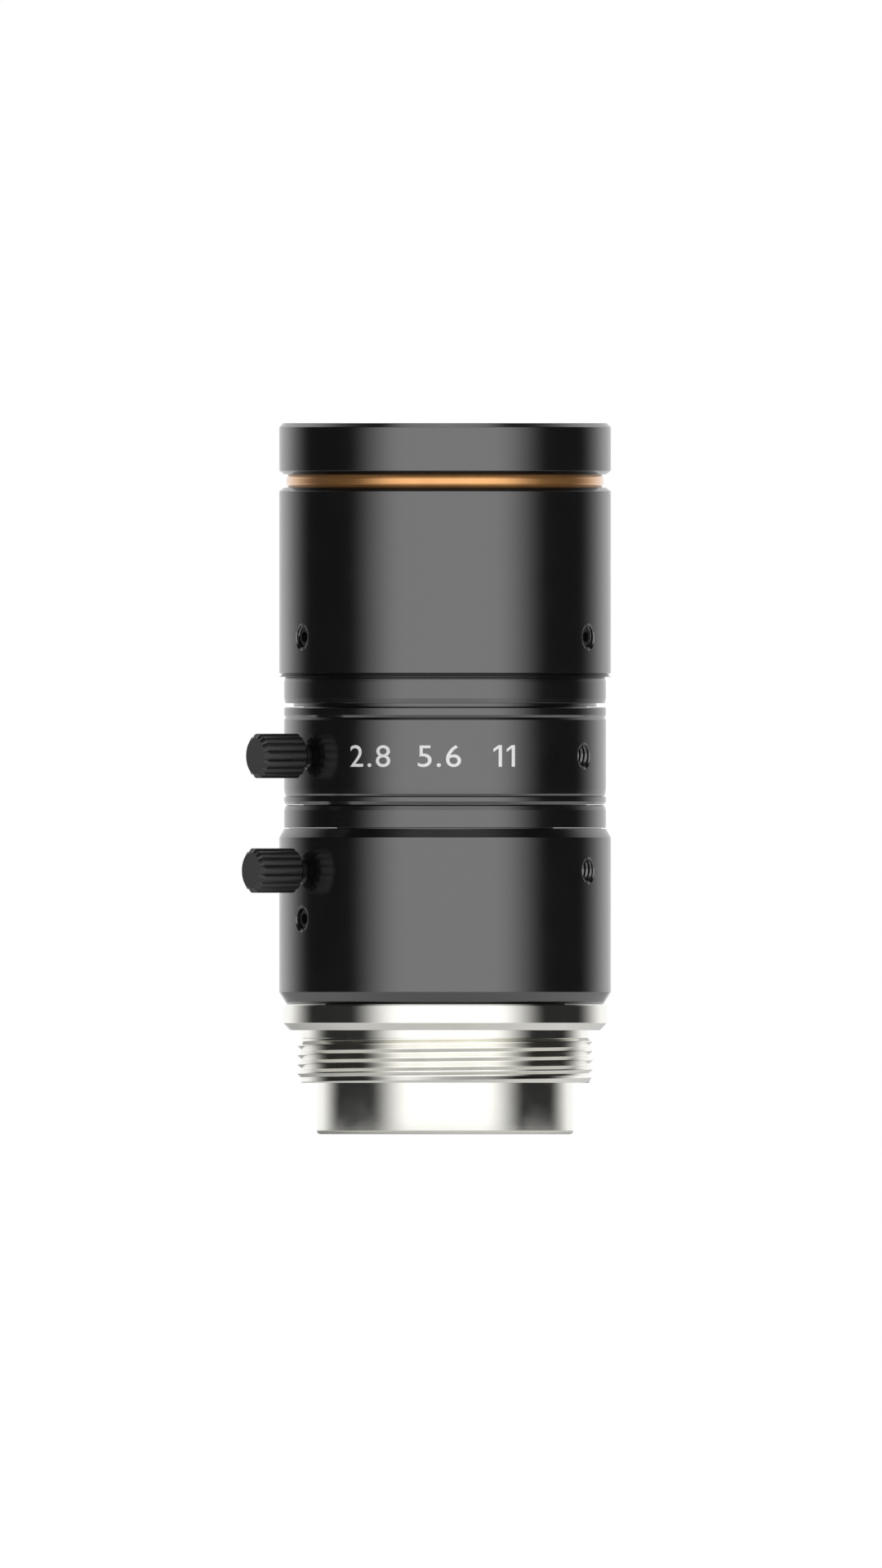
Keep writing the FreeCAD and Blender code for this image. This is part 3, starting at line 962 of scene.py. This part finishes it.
# The photograph is seen square on from the front. These are places in its 1080 by 1920 pixels.
PHOTO_WIDE = 1080
PHOTO_HIGH = 1920
PHOTO_SCALE = 14.28  # pixels to a millimetre
AXIS_PIXEL = 545.0
SHOULDER_PIXEL = 1261.5
CAMERA_DISTANCE = 500


def calculated(tree, operation, *values):
    return add(tree, "ShaderNodeMath", dict(enumerate(values)), operation=operation).outputs[0]


def faded(tree, value, fade):
    start, end, low, high = fade
    return ranged(tree, value, low, high, start, end, interpolation_type="SMOOTHSTEP")


def studio_world():
    """A soft studio: bright before and behind the part, dark at the sides, white to the camera."""
    world = bpy.data.worlds.new("studio")
    bpy.context.scene.world = world
    world.use_nodes = True
    tree = world.node_tree
    tree.nodes.clear()
    way = add(tree, "ShaderNodeTexCoord").outputs["Generated"]
    x, y, z = add(tree, "ShaderNodeSeparateXYZ", {"Vector": way}).outputs
    angle = calculated(tree, "ARCTAN2", x, calculated(tree, "MULTIPLY", y, -1.0))
    front_angle = calculated(tree, "ABSOLUTE", calculated(tree, "SUBTRACT", angle, FRONT_MIDDLE))
    back_angle = calculated(tree, "ABSOLUTE", angle)
    slope = calculated(tree, "ABSOLUTE", z)
    front_level = faded(tree, front_angle, FRONT_SIDEWAYS)
    back_level = faded(tree, back_angle, BACK_SIDEWAYS)
    front = calculated(tree, "MULTIPLY", front_level, faded(tree, slope, FRONT_UPWARDS))
    back = calculated(tree, "MULTIPLY", back_level, faded(tree, slope, BACK_UPWARDS))
    around = calculated(tree, "ADD", front, back)
    room = calculated(tree, "ADD", around, faded(tree, z, OVERHEAD))
    light = add(tree, "ShaderNodeBackground", {"Color": room, "Strength": 1.0})
    white = add(tree, "ShaderNodeBackground", {"Color": (1, 1, 1, 1), "Strength": 1.0})
    seen = add(tree, "ShaderNodeLightPath").outputs["Is Camera Ray"]
    shown = add(tree, "ShaderNodeMixShader", {0: seen, 1: light.outputs[0], 2: white.outputs[0]})
    add(tree, "ShaderNodeOutputWorld", {"Surface": shown.outputs[0]})


def floor_look():
    """A pale floor that holds the shadow, and fades to the backdrop's white to the camera."""
    look, tree = new_look("pale_floor")
    place = object_place(tree)
    speckle = noise(tree, place, FLOOR_SCALE, detail=4, roughness=0.6)
    tone = blended(tree, ranged(tree, speckle, 0, 1), grey(FLOOR_DARK), grey(FLOOR_LIGHT))
    cover = add(tree, "ShaderNodeBsdfDiffuse", {"Color": tone})
    glow = add(tree, "ShaderNodeEmission", {"Color": (1, 1, 1, 1), "Strength": FLOOR_GLOW})
    lit = add(tree, "ShaderNodeAddShader", {0: cover.outputs[0], 1: glow.outputs[0]})
    white = add(tree, "ShaderNodeEmission", {"Color": (1, 1, 1, 1), "Strength": 1.0})
    out = add(tree, "ShaderNodeVectorMath", {0: place}, operation="LENGTH").outputs["Value"]
    far = ranged(tree, out, 0, 1, *FLOOR_FADE)
    shown = add(tree, "ShaderNodeMixShader", {0: far, 1: lit.outputs[0], 2: white.outputs[0]})
    seen = add(tree, "ShaderNodeLightPath").outputs["Is Camera Ray"]
    choice = {0: seen, 1: cover.outputs[0], 2: shown.outputs[0]}
    finish_look(tree, add(tree, "ShaderNodeMixShader", choice))
    return look


def floor():
    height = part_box("c_mount")[0].z - FLOOR_GAP * MM
    bpy.ops.mesh.primitive_circle_add(
        vertices=FLOOR_SEGMENTS,
        radius=FLOOR_RADIUS * MM,
        fill_type="NGON",
        location=(0, 0, height),
    )
    plane = bpy.context.object
    plane.name = "floor"
    plane.data.materials.append(floor_look())


def top_lamp():
    lamp = bpy.data.lights.new("top_lamp", "AREA")
    lamp.shape = "SQUARE"
    lamp.size = LAMP_SIZE * MM
    lamp.energy = LAMP_POWER
    lamp_object = bpy.data.objects.new("top_lamp", lamp)
    bpy.context.scene.collection.objects.link(lamp_object)
    lamp_object.location = Vector(LAMP_PLACE) * MM
    aim = Vector(LAMP_AIM) - Vector(LAMP_PLACE)
    lamp_object.rotation_euler = aim.to_track_quat("-Z", "Y").to_euler()
    lamp_object.visible_glossy = False


def camera():
    data = bpy.data.cameras.new("camera")
    data.type = "ORTHO"
    data.ortho_scale = PHOTO_HIGH / PHOTO_SCALE * MM
    data.clip_end = 10
    view = bpy.data.objects.new("camera", data)
    bpy.context.scene.collection.objects.link(view)
    across = (PHOTO_WIDE / 2 - AXIS_PIXEL) / PHOTO_SCALE
    up = (SHOULDER_PIXEL - PHOTO_HIGH / 2) / PHOTO_SCALE
    view.location = Vector((across, -CAMERA_DISTANCE, up)) * MM
    view.rotation_euler = (math.radians(90), 0, 0)
    bpy.context.scene.camera = view


camera()
camera_mount()
focus_ring()
stop_screw()
lens_barrel()
iris_ring()
for name, text, seen in SCALE:
    digits(name, text, seen)
front_barrel()
accent_ring()
front_ring()
front_glass()
rear_glass()
thumbscrew("focus_thumbscrew", "focus_ring")
thumbscrew("iris_thumbscrew", "iris_ring")
for node in PLAIN_NODES:
    dress(node)
for node in frame["nodes"]:
    if node.startswith("iris_blade_"):
        dress(node)
studio_world()
floor()
top_lamp()

bpy.context.scene.view_settings.view_transform = "Standard"
